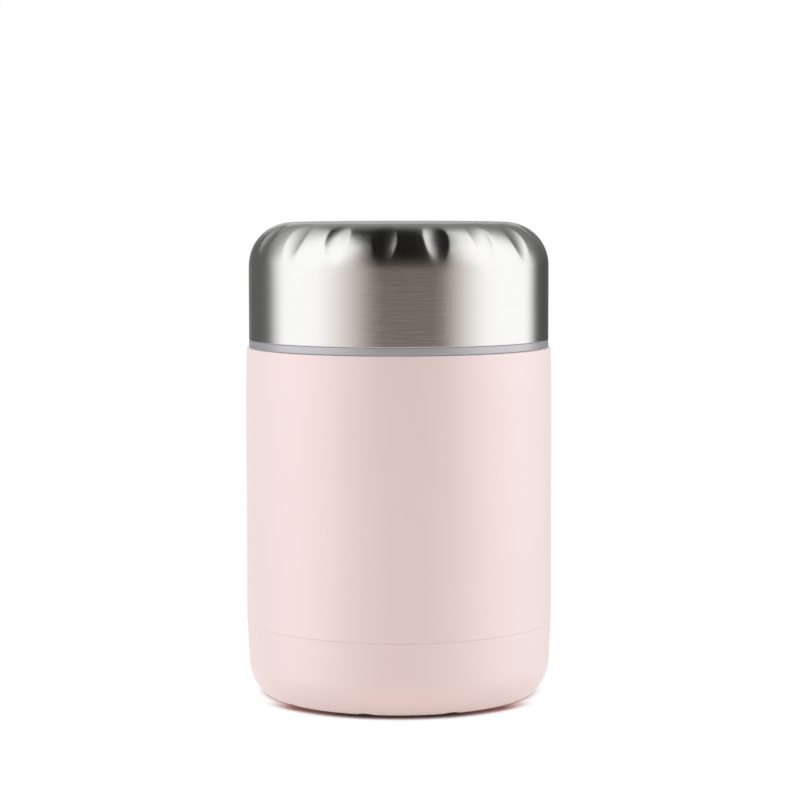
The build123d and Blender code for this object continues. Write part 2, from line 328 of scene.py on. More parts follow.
def steelFinish(name, look):
    material, tree, shader = newMaterial(name)
    grain = groupNode(tree, spunGrain, **{
        "Line Width": look["lineWidth"], "Line Length": look["lineLength"], "Radius": look["radius"]})
    fine, broad = grain.outputs["Fine"], grain.outputs["Broad"]
    lines = rampNode(tree, fine, noiseLow, noiseHigh, -0.5, 0.5, smooth=False)
    bands = rampNode(tree, broad, noiseLow, noiseHigh, -0.5, 0.5, smooth=False)
    tone = mathNode(tree, "ADD", mathNode(tree, "MULTIPLY", lines, look["lineContrast"]),
                    mathNode(tree, "MULTIPLY", bands, look["bandContrast"]))
    tone = mathNode(tree, "ADD", tone, 0.5)
    dark = tuple(c * (1 - look["toneSpread"]) for c in look["colour"])
    light = tuple(min(1.0, c * (1 + look["toneSpread"])) for c in look["colour"])
    tree.links.new(mixColour(tree, tone, dark, light), shader.inputs["Base Color"])
    rough = mathNode(tree, "ADD", look["roughness"], mathNode(tree, "MULTIPLY", lines, look["roughSpread"]))
    tree.links.new(rough, shader.inputs["Roughness"])
    tree.links.new(bumpNode(tree, fine, look["bump"], look["bumpDepth"]), shader.inputs["Normal"])
    shader.inputs["Metallic"].default_value = 1.0
    shader.inputs["Anisotropic"].default_value = look["anisotropic"]
    shader.inputs["Anisotropic Rotation"].default_value = 0.25
    tangent = tree.nodes.new("ShaderNodeTangent")
    tangent.direction_type = "RADIAL"
    tangent.axis = "Z"
    tree.links.new(tangent.outputs[0], shader.inputs["Tangent"])
    return material


def coatFinish(name, look):
    material, tree, shader = newMaterial(name)
    speckle = groupNode(tree, surfaceSpeckle, **{"Grain Size": look["grainSize"], "Patch Size": look["patchSize"]})
    grain, patch = speckle.outputs["Grain"], speckle.outputs["Patch"]
    tone = rampNode(tree, patch, patchLow, patchHigh)
    tree.links.new(mixColour(tree, tone, look["colour"], look["colourTwo"]), shader.inputs["Base Color"])
    rough = rampNode(tree, grain, noiseLow, noiseHigh,
                     look["roughness"] - look["roughSpread"], look["roughness"] + look["roughSpread"])
    tree.links.new(rough, shader.inputs["Roughness"])
    tree.links.new(bumpNode(tree, grain, look["bump"], look["bumpDepth"]), shader.inputs["Normal"])
    shader.inputs["Metallic"].default_value = look.get("metallic", 0.0)
    shader.inputs["IOR"].default_value = look.get("ior", 1.5)
    shader.inputs["Specular IOR Level"].default_value = look.get("specular", 0.5)
    shader.inputs["Sheen Weight"].default_value = look.get("sheen", 0.0)
    shader.inputs["Sheen Roughness"].default_value = look.get("sheenRoughness", 0.5)
    shader.inputs["Subsurface Weight"].default_value = look.get("subsurface", 0.0)
    if look.get("subsurface", 0.0) > 0:
        shader.inputs["Subsurface Radius"].default_value = look["subsurfaceRadius"]
        shader.inputs["Subsurface Scale"].default_value = look["subsurfaceScale"]
    return material


capSteelLook = {
    "colour": (0.62, 0.618, 0.607), "toneSpread": 0.02, "lineContrast": 1.0, "bandContrast": 0.3,
    "lineWidth": 0.0003, "lineLength": 0.007, "radius": 0.045,
    "roughness": 0.23, "roughSpread": 0.03, "anisotropic": 0.3, "bump": 1.0, "bumpDepth": 0.00003,
}
potSteelLook = {
    "colour": (0.66, 0.645, 0.62), "toneSpread": 0.08, "lineContrast": 0.6, "bandContrast": 0.7,
    "lineWidth": 0.0003, "lineLength": 0.008, "radius": 0.042,
    "roughness": 0.27, "roughSpread": 0.06, "anisotropic": 0.4, "bump": 0.08, "bumpDepth": 0.00002,
}
powderLook = {
    "colour": (0.925, 0.722, 0.704), "colourTwo": (0.935, 0.737, 0.719),
    "grainSize": 0.00035, "patchSize": 0.03, "roughness": 0.52, "roughSpread": 0.05,
    "bump": 0.2, "bumpDepth": 0.00002, "ior": 2.3, "specular": 1.0, "sheen": 1.0, "sheenRoughness": 0.5,
}
linerLook = {
    "colour": (0.37, 0.375, 0.42), "colourTwo": (0.39, 0.395, 0.44),
    "grainSize": 0.0006, "patchSize": 0.02, "roughness": 0.3, "roughSpread": 0.02,
    "bump": 0.03, "bumpDepth": 0.00002, "ior": 2.0, "specular": 1.0,
}
siliconeLook = {
    "colour": (0.74, 0.74, 0.72), "colourTwo": (0.70, 0.70, 0.68),
    "grainSize": 0.0004, "patchSize": 0.01, "roughness": 0.55, "roughSpread": 0.08,
    "bump": 0.2, "bumpDepth": 0.00002, "subsurface": 0.3,
    "subsurfaceRadius": (1.0, 0.9, 0.8), "subsurfaceScale": 0.0015,
}
foamLook = {
    "colour": (0.85, 0.85, 0.83), "colourTwo": (0.78, 0.78, 0.76), "grainSize": 0.002, "patchSize": 0.01,
    "roughness": 0.85, "roughSpread": 0.05, "bump": 0.6, "bumpDepth": 0.0003,
}
foilLook = {
    "colour": (0.80, 0.80, 0.81), "colourTwo": (0.72, 0.72, 0.74), "grainSize": 0.003, "patchSize": 0.01,
    "roughness": 0.22, "roughSpread": 0.08, "bump": 0.5, "bumpDepth": 0.0002, "metallic": 1.0,
}
glueLook = {
    "colour": (0.80, 0.75, 0.60), "colourTwo": (0.74, 0.68, 0.52), "grainSize": 0.001, "patchSize": 0.006,
    "roughness": 0.3, "roughSpread": 0.05, "bump": 0.3, "bumpDepth": 0.0001,
}
solderLook = {
    "colour": (0.60, 0.60, 0.61), "colourTwo": (0.45, 0.45, 0.46), "grainSize": 0.0006, "patchSize": 0.003,
    "roughness": 0.35, "roughSpread": 0.1, "bump": 0.4, "bumpDepth": 0.0001, "metallic": 1.0,
}
getterLook = {
    "colour": (0.16, 0.16, 0.17), "colourTwo": (0.12, 0.12, 0.125), "grainSize": 0.0003, "patchSize": 0.002,
    "roughness": 0.8, "roughSpread": 0.05, "bump": 0.5, "bumpDepth": 0.00005,
}

capSteel = steelFinish("capSteel", capSteelLook)
potSteel = steelFinish("potSteel", potSteelLook)
powderCoat = coatFinish("powderCoat", powderLook)
linerPlastic = coatFinish("linerPlastic", linerLook)
silicone = coatFinish("gasketSilicone", siliconeLook)
print("finishes made")


def finishPiece(piece, material, body, slot, *nodes):
    piece.data.materials.clear()
    piece.data.materials.append(material)
    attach(piece, body)
    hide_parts(*nodes)


# Lid cap. In this dictionary and the other shapes, lengths are in millimetres and angles in degrees.
capShape = {
    "sheet": 0.5, "shoulder": 13.0, "hemHeight": 0.5, "hemRound": 0.3, "hemInnerRound": 0.15,
    "flutes": 18, "fluteAngle": -5.2, "fluteDepth": 0.46, "fluteWidth": 8.2, "fluteMiddle": 41.5,
    "fluteReach": 32.0, "fluteEnd": 38.0, "endFade": 0.1, "sideCrease": 0.03, "endCrease": 0.12,
    "creaseFrom": 0.3, "creaseSpan": 0.6, "creaseReach": 3.0, "stepsPerFlute": 42, "shoulderRows": 64,
    "rowsAboveHem": (0.9, 2.0), "rowsBelowShoulder": (6.0, 1.0), "rowsInsideShoulder": (1.0, 8.0),
    "sharpAngle": 50,
}


def lidCap(shape):
    # The cap is a turned sheet. Each flute is where a bent round bar sinks into the shoulder: the bar's own
    # radius gives the flute its width, and the arc it is bent to gives the flute its reach up the shoulder.
    # A point inside the bar by d moves d along the shoulder's normal, and the crease is softened.
    shoulder, depth, reach = shape["shoulder"], shape["fluteDepth"], math.radians(shape["fluteReach"])
    centreR, centreZ = lidRadius - shoulder, lidTop - shoulder
    hollow = (shape["fluteWidth"] ** 2 / 4 + depth ** 2) / (2 * depth)
    outward = (shoulder ** 2 - (shoulder - depth) ** 2) / (2 * shoulder * (1 - math.cos(reach)) - 2 * depth)
    bed = outward + shoulder - depth
    middle = math.radians(shape["fluteMiddle"])
    barR = centreR - outward * math.cos(middle)
    barZ = centreZ - outward * math.sin(middle)

    def face(inset, rows):
        radius = shoulder - inset
        bend = np.linspace(0, np.pi / 2, rows + 1)
        arc = np.stack([centreR + radius * np.cos(bend), centreZ + radius * np.sin(bend)], axis=1)
        heights = [ringTop + up for up in shape["rowsAboveHem"]]
        heights += [centreZ - down for down in shape["rowsBelowShoulder"]]
        radii = [centreR - inward for inward in shape["rowsInsideShoulder"]] + [centreR / 2, 0]
        wall = np.array([[centreR + radius, z] for z in heights])
        top = np.array([[r, lidTop - inset] for r in radii])
        return np.vstack([wall, arc, top])

    outer = face(0, shape["shoulderRows"])
    inner = face(shape["sheet"], shape["shoulderRows"] // 3)
    hemTop = ringTop + shape["hemHeight"]
    hem = roundedPath(
        [(lidRadius - shape["sheet"], hemTop), (lidRadius - shape["sheet"], ringTop), (lidRadius, ringTop),
         (lidRadius, hemTop)], [shape["hemInnerRound"], shape["hemRound"]], step=9)
    loop = np.vstack([hem, outer, inner[::-1]])
    inset = np.concatenate([np.zeros(len(hem) + len(outer)), np.full(len(inner), shape["sheet"])])[:, None]
    aboveHem = (np.arange(len(loop)) >= len(hem))[:, None]

    def sink(r, z, angle):
        pitch = 2 * np.pi / shape["flutes"]
        off = np.mod(angle - math.radians(shape["fluteAngle"] - 90) + pitch / 2, pitch) - pitch / 2
        x, y = r * np.cos(off), r * np.sin(off)
        lean = np.abs(np.arctan2(z - barZ, x - barR) - middle)
        inside = hollow + inset - np.hypot(np.hypot(x - barR, z - barZ) - bed - hollow, y)
        ends = smoothStep((lean - shape["creaseFrom"] * reach) / (shape["creaseSpan"] * reach))
        soft = shape["sideCrease"] + (shape["endCrease"] - shape["sideCrease"]) * ends
        sunk = (inside + np.sqrt(inside ** 2 + 4 * soft ** 2)) / 2
        normal = np.arctan2(np.maximum(z - centreZ, 0), np.maximum(r - centreR, 0) + 1e-9)
        sunk = np.where((inside > -shape["creaseReach"]) & aboveHem, sunk, 0)
        sunk = sunk * smoothStep((math.radians(shape["fluteEnd"]) - lean) / shape["endFade"])
        return r - sunk * np.cos(normal), z - sunk * np.sin(normal)

    return turned("lid_cap_brushed", loop, shape["flutes"] * shape["stepsPerFlute"], sink, shape["sharpAngle"])


finishPiece(lidCap(capShape), capSteel, "lid", "cap_steel", "lid_cap")
print("lid cap made")


# Lid liner, with the ring that shows under the cap
linerShape = {
    "skirtRadius": 44.4, "bore": 42.0, "webLow": 123.0, "webHigh": 124.6, "mouthRound": 0.6, "ringRound": 0.2,
    "spigotOuter": 34.5, "spigotInner": 33.0, "spigotLow": 117.5, "innerRound": 0.4,
    "capSeatRound": 0.1, "topRound": 0.3, "boreRows": 110, "boreTolerance": 0.02,
    "threadLow": 106.29, "threadTurns": 1.0, "threadStart": 66.8, "threadCrest": 40.75, "threadWidth": 2.6,
    "fade": 22, "segments": 288,
}


def lidLiner(shape):
    corners = [
        (0, shape["webLow"]), (shape["spigotInner"], shape["webLow"]), (shape["spigotInner"], shape["spigotLow"]),
        (shape["spigotOuter"], shape["spigotLow"]), (shape["spigotOuter"], shape["webLow"]),
        (shape["bore"], shape["webLow"]), (shape["bore"], linerFoot), (lidRadius, linerFoot), (lidRadius, ringTop),
        (shape["skirtRadius"], ringTop), (shape["skirtRadius"], shape["webHigh"]), (0, shape["webHigh"]),
    ]
    radii = [shape["innerRound"]] * 5 + [
        shape["mouthRound"], shape["ringRound"], shape["ringRound"], shape["capSeatRound"], shape["topRound"]]
    path = roundedPath(corners, radii, step=12)
    onBore = np.abs(path[:, 0] - shape["bore"]) < shape["boreTolerance"]
    start = np.argmax(onBore)
    stop = len(onBore) - np.argmax(onBore[::-1]) - 1
    rows = np.linspace(path[start, 1], path[stop, 1], shape["boreRows"])
    bore = np.stack([np.full(shape["boreRows"], shape["bore"]), rows], axis=1)
    loop = np.vstack([path[:start], bore, path[stop + 1:]])
    height = shape["bore"] - shape["threadCrest"]

    def cutThread(r, z, angle):
        ridge = threadHeight(z, angle, shape["threadLow"], shape["threadTurns"], shape["threadStart"],
                             height, shape["threadWidth"], shape["fade"])
        inBore = np.abs(r - shape["bore"]) < shape["boreTolerance"]
        return r - np.where(inBore, ridge, 0), z

    return turned("lid_liner_moulded", loop, shape["segments"], cutThread)


finishPiece(lidLiner(linerShape), linerPlastic, "lid", "liner_plastic", "lid_liner")
print("liner made")


# Plug cup and gasket
plugShape = {
    "radius": 36.3, "wall": 1.6, "floor": 1.6, "corner": 1.5, "beadRadius": 36.75, "beadHeight": 120.45,
    "beadHalf": 0.35, "beadFootRound": 0.1, "beadRound": 0.15, "dishDepth": 0.4, "dishFrom": 0.78, "dishTo": 0.82,
    "dishRound": 0.8, "rimRound": 0.2, "innerCorner": 0.4, "segments": 192,
}
gasketShape = {"inner": 36.45, "edgeRound": 0.5, "segments": 192}


def plugCup(shape):
    low, high = plugLow.z, plugHigh.z
    radius, wall, dish = shape["radius"], shape["wall"], low + shape["dishDepth"]
    beadLow, beadHigh = shape["beadHeight"] - shape["beadHalf"], shape["beadHeight"] + shape["beadHalf"]
    corners = [
        (0, dish), (radius * shape["dishFrom"], dish), (radius * shape["dishTo"], low), (radius, low),
        (radius, beadLow), (shape["beadRadius"], shape["beadHeight"]), (radius, beadHigh), (radius, high),
        (radius - wall, high), (radius - wall, low + shape["floor"]), (0, low + shape["floor"]),
    ]
    radii = [
        shape["dishRound"], shape["dishRound"], shape["corner"], shape["beadFootRound"], shape["beadRound"],
        shape["beadFootRound"], shape["rimRound"], shape["rimRound"], shape["innerCorner"],
    ]
    return turned("plug_cup_moulded", roundedPath(corners, radii, step=12), shape["segments"])


def gasketRing(shape):
    # A flat ring with rounded edges
    inner, outer = shape["inner"], gasketHigh.x
    low, high = gasketLow.z, gasketHigh.z
    corners = [(inner, (low + high) / 2), (inner, low), (outer, low), (outer, high), (inner, high),
               (inner, (low + high) / 2)]
    path = roundedPath(corners, [shape["edgeRound"]] * 4, step=9)
    return turned("lid_gasket_silicone", path[:-1], shape["segments"])


finishPiece(plugCup(plugShape), linerPlastic, "lid", "plug_plastic", "plug_cup")
finishPiece(gasketRing(gasketShape), silicone, "gasket", "silicone", "lid_gasket")
print("plug and gasket made")


endRoundShare = 0.98  # a round that ends at a path's end stays just short of it

# Outer shell: coated wall and bare neck
shellShape = {
    "sheet": 0.5, "drawInHeight": 92.0, "shoulderRadius": 45.7, "shoulderHeight": 104.3, "drawInBlend": 500.0,
    "shoulderRound": 0.4, "coatEdge": 43.4, "neckRadius": 40.3, "neckRound": 0.8, "lipRadius": 38.9,
    "lipRound": 1.2, "seamRound": 0.22, "threadLow": 108.2, "threadTurns": 1.07, "threadStart": 20.0,
    "threadCrest": 41.5, "threadWidth": 3.2, "fade": 30, "neckRows": 110, "neckTolerance": 1e-3,
    "bendInset": 1.0, "bendDrop": 0.1, "wallDrop": 1.6, "lipInset": 1.0, "lipDrop": 1.2, "neckFlare": 0.3,
    "wallSegments": 384, "neckSegments": 288,
}


def shellWall(shape):
    corners = [
        (bodyRadius - shape["seamRound"], seamHeight), (bodyRadius, seamHeight),
        (bodyRadius, shape["drawInHeight"]), (shape["shoulderRadius"], shape["shoulderHeight"]),
        (shape["coatEdge"], shape["shoulderHeight"]),
    ]
    radii = [shape["seamRound"] * endRoundShare, shape["drawInBlend"], shape["shoulderRound"] * endRoundShare]
    outer = roundedPath(corners, radii, step=5)
    sheet, top = shape["sheet"], shape["shoulderHeight"]
    inner = np.array([
        (shape["coatEdge"], top - sheet),
        (shape["shoulderRadius"] - shape["bendInset"], top - sheet - shape["bendDrop"]),
        (shape["shoulderRadius"] - sheet, top - shape["wallDrop"]),
        (bodyRadius - sheet, shape["drawInHeight"]), (bodyRadius - sheet, seamHeight),
    ])
    return turned("outer_shell_coated", np.vstack([outer, inner]), shape["wallSegments"])


def shellNeck(shape):
    top = shape["shoulderHeight"]
    corners = [
        (shape["coatEdge"], top), (shape["neckRadius"], top), (shape["neckRadius"], rimHeight),
        (shape["lipRadius"], rimHeight),
    ]
    path = roundedPath(corners, [shape["neckRound"], shape["lipRound"]], step=8)
    straight = np.abs(path[:, 0] - shape["neckRadius"]) < shape["neckTolerance"]
    start = np.argmax(straight)
    stop = len(straight) - np.argmax(straight[::-1]) - 1
    rows = np.linspace(path[start, 1], path[stop, 1], shape["neckRows"])
    neck = np.stack([np.full(shape["neckRows"], shape["neckRadius"]), rows], axis=1)
    outer = np.vstack([path[:start], neck, path[stop + 1:]])
    sheet = shape["sheet"]
    inner = np.array([
        (shape["lipRadius"], rimHeight - sheet), (shape["neckRadius"] - shape["lipInset"], rimHeight - sheet),
        (shape["neckRadius"] - sheet, rimHeight - shape["lipDrop"]), (shape["neckRadius"] - sheet, top),
        (shape["neckRadius"] + shape["neckFlare"], top - sheet), (shape["coatEdge"], top - sheet),
    ])
    height = shape["threadCrest"] - shape["neckRadius"]

    def rollThread(r, z, angle):
        ridge = threadHeight(z, angle, shape["threadLow"], shape["threadTurns"], shape["threadStart"],
                             height, shape["threadWidth"], shape["fade"])
        onNeck = np.abs(r - shape["neckRadius"]) < shape["neckTolerance"]
        return r + np.where(onNeck, ridge, 0), z

    return turned("shell_neck_rolled", np.vstack([outer, inner]), shape["neckSegments"], rollThread)


finishPiece(shellWall(shellShape), powderCoat, "jar", "powder_coat", "outer_shell")
finishPiece(shellNeck(shellShape), potSteel, "jar", "pot_steel", "outer_shell")
print("shell made")


# Base cup and its cover disc
cupShape = {
    "sheet": 0.5, "wallRadius": 45.4, "wallHeight": 10.0, "kneeR": 41.7, "kneeZ": 1.0, "rimInner": 37.9,
    "panRadius": 36.4, "panHeight": 3.0, "dimpleRadius": 6.0, "dimpleRise": 1.6, "seamRound": 0.22,
    "rimInnerRound": 1.1, "panRound": 1.0, "notches": 10, "notchAngle": -14.0, "notchWidth": 5.4,
    "notchDepth": 0.6, "stepsPerNotch": 48, "dimpleInset": 0.2, "rimInset": 0.6, "rimLift": 0.4, "kneeInset": 0.7,
    "kneeSteps": 16, "toeSteps": 20,
}
coverShape = {
    "grooveOuter": 2.8, "grooveMiddle": 3.4, "grooveInner": 4.0, "grooveDepth": 0.12, "grooveRound": 0.4,
    "edgeRound": 0.16, "topRound": 0.1, "segments": 192,
}


def arcFrom(start, heading, end, count):
    # Points on the circle that leaves start along heading and passes through end
    start, end = np.array(start, float), np.array(end, float)
    heading = np.array(heading, float) / np.linalg.norm(heading)
    side = np.array([-heading[1], heading[0]])
    chord = end - start
    radius = (chord @ chord) / (2 * (chord @ side))
    centre = start + side * radius
    turn = 2 * math.atan2(chord @ side, chord @ heading)
    angles = np.linspace(0, turn, count + 1)
    spoke = start - centre
    points = np.stack([
        centre[0] + spoke[0] * np.cos(angles) - spoke[1] * np.sin(angles),
        centre[1] + spoke[0] * np.sin(angles) + spoke[1] * np.cos(angles),
    ], axis=1)
    leaving = np.array([
        heading[0] * math.cos(turn) - heading[1] * math.sin(turn),
        heading[0] * math.sin(turn) + heading[1] * math.cos(turn),
    ])
    return points, leaving


def baseCup(shape):
    wallTop = np.array([cupTopRadius, seamHeight])
    wallEnd = np.array([shape["wallRadius"], shape["wallHeight"]])
    knee, leaving = arcFrom(wallEnd, wallEnd - wallTop, (shape["kneeR"], shape["kneeZ"]), shape["kneeSteps"])
    lean = -leaving[0]
    toeRadius = shape["kneeZ"] / (1 - lean)
    toeEnd = (shape["kneeR"] - toeRadius * math.sqrt(1 - lean ** 2), 0)
    toe, _ = arcFrom(knee[-1], leaving, toeEnd, shape["toeSteps"])
    dimple, rise = shape["dimpleRadius"], shape["dimpleRise"]
    under = roundedPath(
        [toe[-1], (shape["rimInner"], 0), (shape["panRadius"], shape["panHeight"]), (dimple, shape["panHeight"]),
         (dimple - rise, shape["panHeight"] + rise), (0, shape["panHeight"] + rise)],
        [shape["rimInnerRound"]] + [shape["panRound"]] * 3, step=8)
    top = roundedPath([(cupTopRadius - shape["seamRound"], seamHeight), (cupTopRadius, seamHeight), wallEnd],
                      [shape["seamRound"] * endRoundShare], step=15)
    outside = np.vstack([top[:-1], knee[:-1], toe[:-1], under])
    sheet = shape["sheet"]
    panTop, lift, tuck = shape["panHeight"] + sheet, shape["rimLift"], shape["kneeInset"]
    inside = np.array([
        (0, panTop + rise), (dimple - rise - shape["dimpleInset"], panTop + rise),
        (dimple + shape["dimpleInset"], panTop), (shape["panRadius"], panTop),
        (shape["rimInner"] + shape["rimInset"], sheet + lift), (toeEnd[0] - lift, sheet + lift),
        (shape["kneeR"] - tuck, shape["kneeZ"] + tuck),
        (shape["wallRadius"] - sheet, shape["wallHeight"]), (cupTopRadius - sheet, seamHeight),
    ])
    loop = np.vstack([outside, inside])
    contact = toeEnd[0]

    def pressNotches(r, z, angle):
        # Each notch lifts the rim by a rounded trough across it, deepest on the notch's middle line
        pitch = 2 * np.pi / shape["notches"]
        off = np.mod(angle - math.radians(shape["notchAngle"] - 90) + pitch / 2, pitch) - pitch / 2
        across = np.abs(off) * contact
        trough = np.clip(1 - (2 * across / shape["notchWidth"]) ** 2, 0, 1)
        return r, np.maximum(z, shape["notchDepth"] * trough)

    return turned("base_cup_coated", loop, shape["notches"] * shape["stepsPerNotch"], pressNotches)


def baseCover(shape):
    # A flat disc with one shallow groove near its edge
    radius, low, high = coverHigh.x, coverLow.z, coverHigh.z
    corners = [
        (0, low), (radius - shape["grooveInner"], low),
        (radius - shape["grooveMiddle"], low + shape["grooveDepth"]), (radius - shape["grooveOuter"], low),
        (radius, low), (radius, high), (0, high),
    ]
    radii = [shape["grooveRound"]] * 3 + [shape["edgeRound"], shape["topRound"]]
    return turned("base_cover_disc", roundedPath(corners, radii, step=12), shape["segments"])


finishPiece(baseCup(cupShape), powderCoat, "jar", "powder_coat", "base_cup")
finishPiece(baseCover(coverShape), potSteel, "jar", "base_steel", "base_cover")
print("base made")


# Inner pot
potShape = {
    "sheet": 0.4, "radius": 41.6, "floor": 12.5, "corner": 10.0, "neckRadius": 37.0, "shoulderLow": 97.5,
    "shoulderHigh": 101.5, "shoulderRound": 4.0, "lipRadius": 38.9, "lipRound": 1.2, "segments": 256,
}


def innerPot(shape):
    corners = [
        (0, shape["floor"]), (shape["radius"], shape["floor"]), (shape["radius"], shape["shoulderLow"]),
        (shape["neckRadius"], shape["shoulderHigh"]), (shape["neckRadius"], rimHeight),
        (shape["lipRadius"], rimHeight),
    ]
    radii = [shape["corner"], shape["shoulderRound"], shape["shoulderRound"], shape["lipRound"]]
    inside = roundedPath(corners, radii, step=5)
    outside = offsetPath(inside, -shape["sheet"])
    outside[0] = (0, shape["floor"] - shape["sheet"])
    outside[-1] = (shape["lipRadius"], rimHeight - shape["sheet"])
    return turned("inner_pot_drawn", np.vstack([inside, outside[::-1]]), shape["segments"])


finishPiece(innerPot(potShape), potSteel, "jar", "pot_steel", "inner_pot")
print("pot made")


# The pieces that stay sealed inside keep their CAD shape
hiddenFinishes = {
    "foil_wrap": foilLook, "foil_disc": foilLook, "lid_foam": foamLook, "plug_foam": foamLook,
    "lid_adhesive": glueLook, "vacuum_seal": solderLook, "getter_pellet": getterLook, "getter_clip": foilLook,
}
for node, look in hiddenFinishes.items():
    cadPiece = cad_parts[node]
    cadPiece.data.materials.clear()
    cadPiece.data.materials.append(coatFinish(node + "_finish", look))
print("hidden pieces finished")


# Floor, in metres
floorLook = {
    "size": 12.0, "seenColour": (0.03, 0.03, 0.03), "bounceColour": (0.87, 0.77, 0.745), "lift": 0.972,
    "nearRadius": 0.10, "farRadius": 0.45, "contactReach": 0.006, "contactSamples": 8,
    "openFrom": 0.4, "openTo": 0.88, "sideOpenTo": 0.78,
    # Painted contact shadow colours under the jar, and painted pink bounce light in the halo round them
    "paintedShadowColour": (0.026, 0.008, 0.005), "sidePaintedShadow": (0.17, 0.07, 0.055),
    "paintedBounceColour": (1.0, 0.76, 0.72), "sidePaintedBounce": (1.0, 0.55, 0.50),
    "sideFrom": 0.3, "sideTo": 0.75, "fadeFrom": 0.7, "fadeTo": 0.92,
    "deepFrom": 0.06, "deepTo": 0.35, "deepLevel": 0.35,
}


def makeFloor(look):
    # The floor is matte and pale where light bounces on it. The camera sees it dark, with a glow added that is
    # white far out. Where the jar covers the floor the glow falls by ambient occlusion: the contact shadow is
    # painted into the glow, and a painted pink tint stands in for light bounced off the jar.
    half = look["size"] / 2
    mesh = bpy.data.meshes.new("floor")
    mesh.from_pydata([(-half, -half, 0), (half, -half, 0), (half, half, 0), (-half, half, 0)], [], [(0, 1, 2, 3)])
    floor = bpy.data.objects.new("floor", mesh)
    bpy.context.scene.collection.objects.link(floor)
    material = bpy.data.materials.new("floorFinish")
    material.use_nodes = True
    tree = material.node_tree
    tree.nodes.clear()
    output = tree.nodes.new("ShaderNodeOutputMaterial")
    path = tree.nodes.new("ShaderNodeLightPath")
    seen = path.outputs["Is Camera Ray"]
    matte = tree.nodes.new("ShaderNodeBsdfDiffuse")
    tree.links.new(mixColour(tree, seen, look["bounceColour"], look["seenColour"]), matte.inputs["Color"])
    place = tree.nodes.new("ShaderNodeTexCoord").outputs["Object"]
    distance = tree.nodes.new("ShaderNodeVectorMath")
    distance.operation = "LENGTH"
    tree.links.new(place, distance.inputs[0])
    glowLevel = rampNode(tree, distance.outputs["Value"], look["nearRadius"], look["farRadius"], look["lift"], 1.0)
    near = tree.nodes.new("ShaderNodeAmbientOcclusion")
    near.samples = look["contactSamples"]
    near.inputs["Distance"].default_value = look["contactReach"]
    glow = tree.nodes.new("ShaderNodeEmission")
    # The painted shadow is dark and wide in front and behind. Towards the left and right it is lighter and redder,
    # with painted pink bounce light, and at their ends only the deep of the crevice keeps it. How far aside a point
    # lies is |x| / distance.
    split = tree.nodes.new("ShaderNodeSeparateXYZ")
    tree.links.new(place, split.inputs[0])
    aside = mathNode(tree, "DIVIDE", mathNode(tree, "ABSOLUTE", split.outputs[0]), distance.outputs["Value"])
    sideLight = rampNode(tree, aside, look["sideFrom"], look["sideTo"])
    openTo = mixValue(tree, sideLight, look["openTo"], look["sideOpenTo"])
    openness = rampNode(tree, near.outputs["AO"], look["openFrom"], openTo)
    deep = rampNode(tree, near.outputs["AO"], look["deepFrom"], look["deepTo"], look["deepLevel"])
    openness = mixValue(tree, rampNode(tree, aside, look["fadeFrom"], look["fadeTo"]), openness, deep)
    # Painted shadow colour, darkest at the contact line and redder towards the sides
    contact = mixColour(tree, sideLight, look["paintedShadowColour"], look["sidePaintedShadow"])
    # Painted halo: a pink tint standing in for light bounced off the jar onto the floor, fading to white as the
    # floor opens
    paintedBounce = mixColour(tree, sideLight, look["paintedBounceColour"], look["sidePaintedBounce"])
    paintedBounce = mixColour(tree, openness, paintedBounce, (1.0, 1.0, 1.0))
    tree.links.new(mixColour(tree, openness, contact, paintedBounce), glow.inputs["Color"])
    tree.links.new(mathNode(tree, "MULTIPLY", seen, glowLevel), glow.inputs["Strength"])
    both = tree.nodes.new("ShaderNodeAddShader")
    tree.links.new(matte.outputs[0], both.inputs[0])
    tree.links.new(glow.outputs[0], both.inputs[1])
    tree.links.new(both.outputs[0], output.inputs[0])
    mesh.materials.append(material)
    floor.visible_glossy = False


makeFloor(floorLook)


# Tent of cards that only reflections see. Its places are parts of a unit direction: x right, y away, z up.
tentLook = {
    "radius": 4.0, "panelLevel": 1.565, "gapLevel": 0.348, "cardLevel": 0.005, "cardLow": -0.547, "cardHigh": 0.585,
    "rearGapLevel": 0.386, "rearGapFrom": 0.279, "rearGapTo": 0.98, "narrowest": 0.03,
    "floorLevel": 0.9, "floorTop": (-0.32, -0.15), "warmTint": (1.15, 1.0, 0.86), "warmEnd": (-0.5, 0.5),
    "stripLevel": 1.0, "stripLow": (0.165, 0.18), "stripHigh": (0.23, 0.245), "stripBack": (0.94, 0.96),
    "rings": 48, "sides": 96,
    "left": {"inner": 0.164, "innerBack": 0.103, "innerFront": 0.115, "innerUp": 0.182,
             "width": 0.707, "widthUp": 0.821, "widthBack": 0.369,
             "dropLow": 0.123, "dropLowUp": -0.231, "dropHigh": 0.495, "dropHighUp": 0.326,
             "rearLow": 0.143, "rearHigh": 0.614, "rearFrom": 0.284, "rearTo": 0.745},
    "right": {"inner": 0.374, "innerBack": 0.469, "innerFront": 0.185, "innerUp": -0.039,
              "width": 0.515, "widthUp": 0.395, "widthBack": 0.106,
              "dropLow": 0.433, "dropLowUp": -0.328, "dropHigh": 0.634, "dropHighUp": 0.09,
              "rearLow": 0.086, "rearHigh": 0.298, "rearFrom": -0.064, "rearTo": 0.772},
}


